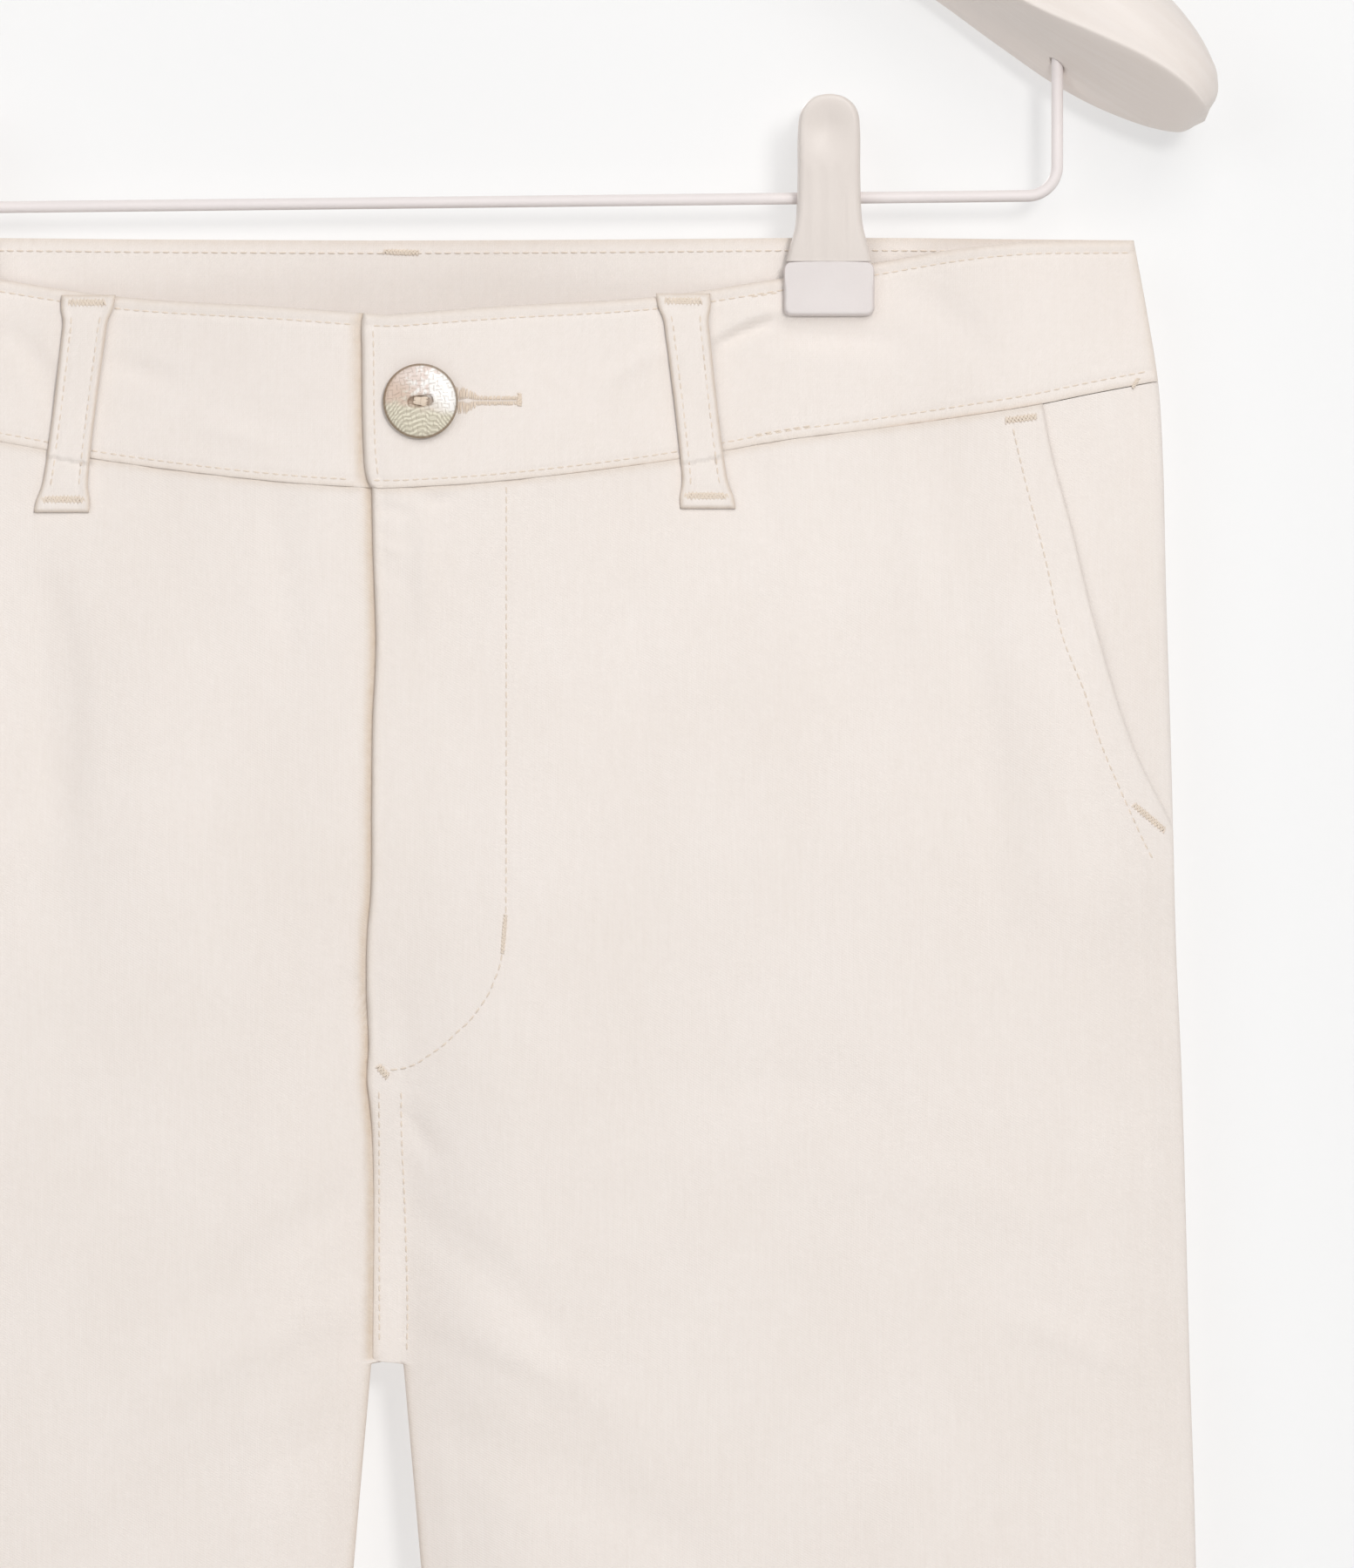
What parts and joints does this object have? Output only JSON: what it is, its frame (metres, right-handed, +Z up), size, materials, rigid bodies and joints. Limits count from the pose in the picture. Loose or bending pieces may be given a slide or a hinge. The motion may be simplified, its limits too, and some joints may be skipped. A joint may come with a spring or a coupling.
{
  "type": "chinos on a clip hanger",
  "caption": "Straight-leg chinos with a buttoned tab waistband, fly, slant pockets and belt loops, hung by two clips from the rod of a wooden hanger with a hook.",
  "frame": {"origin": "inner top of the hanger's hook, where a rail or wall hook carries it", "axes": "+Z up, +X to the viewer's right as the front is seen, -Y out of the front of the garment"},
  "size_m": [0.462, 0.0398, 1.2594],
  "materials": {
    "cloth": "cream stretch cotton twill",
    "waistband_cloth": "the same cream twill, folded and topstitched",
    "zip_tape": "woven tape with moulded teeth",
    "shell": "polished mother-of-pearl shell with fine engraved lines",
    "thread": "tan sewing thread",
    "pale_wood": "whitewashed matt wood",
    "coated_wire": "white coated wire",
    "clip_plastic": "pale moulded plastic",
    "clip_rubber": "pale soft rubber"
  },
  "bodies": {
    "root": {"front_left": "cloth", "front_right": "cloth", "back_left": "cloth", "back_right": "cloth", "pocket_facing_left": "cloth", "pocket_facing_right": "cloth", "fly_placket": "cloth", "fly_shield": "cloth", "waistband_front_left": "waistband_cloth", "waistband_front_right": "waistband_cloth", "waistband_back": "waistband_cloth", "belt_loop_front_left": "waistband_cloth", "belt_loop_front_right": "waistband_cloth", "belt_loop_back_left": "waistband_cloth", "belt_loop_back_right": "waistband_cloth", "belt_loop_back_centre": "waistband_cloth", "fly_zip": "zip_tape", "button": "shell", "button_thread": "thread", "hanger_body": "pale_wood", "hook": "coated_wire", "rod": "coated_wire", "clip_left_jaw_front": "clip_plastic", "clip_left_pad_front": "clip_rubber", "clip_left_jaw_back": "clip_plastic", "clip_left_pad_back": "clip_rubber", "clip_left_barrel": "clip_plastic", "clip_right_jaw_front": "clip_plastic", "clip_right_pad_front": "clip_rubber", "clip_right_jaw_back": "clip_plastic", "clip_right_pad_back": "clip_rubber", "clip_right_barrel": "clip_plastic"}
  },
  "joints": []
}
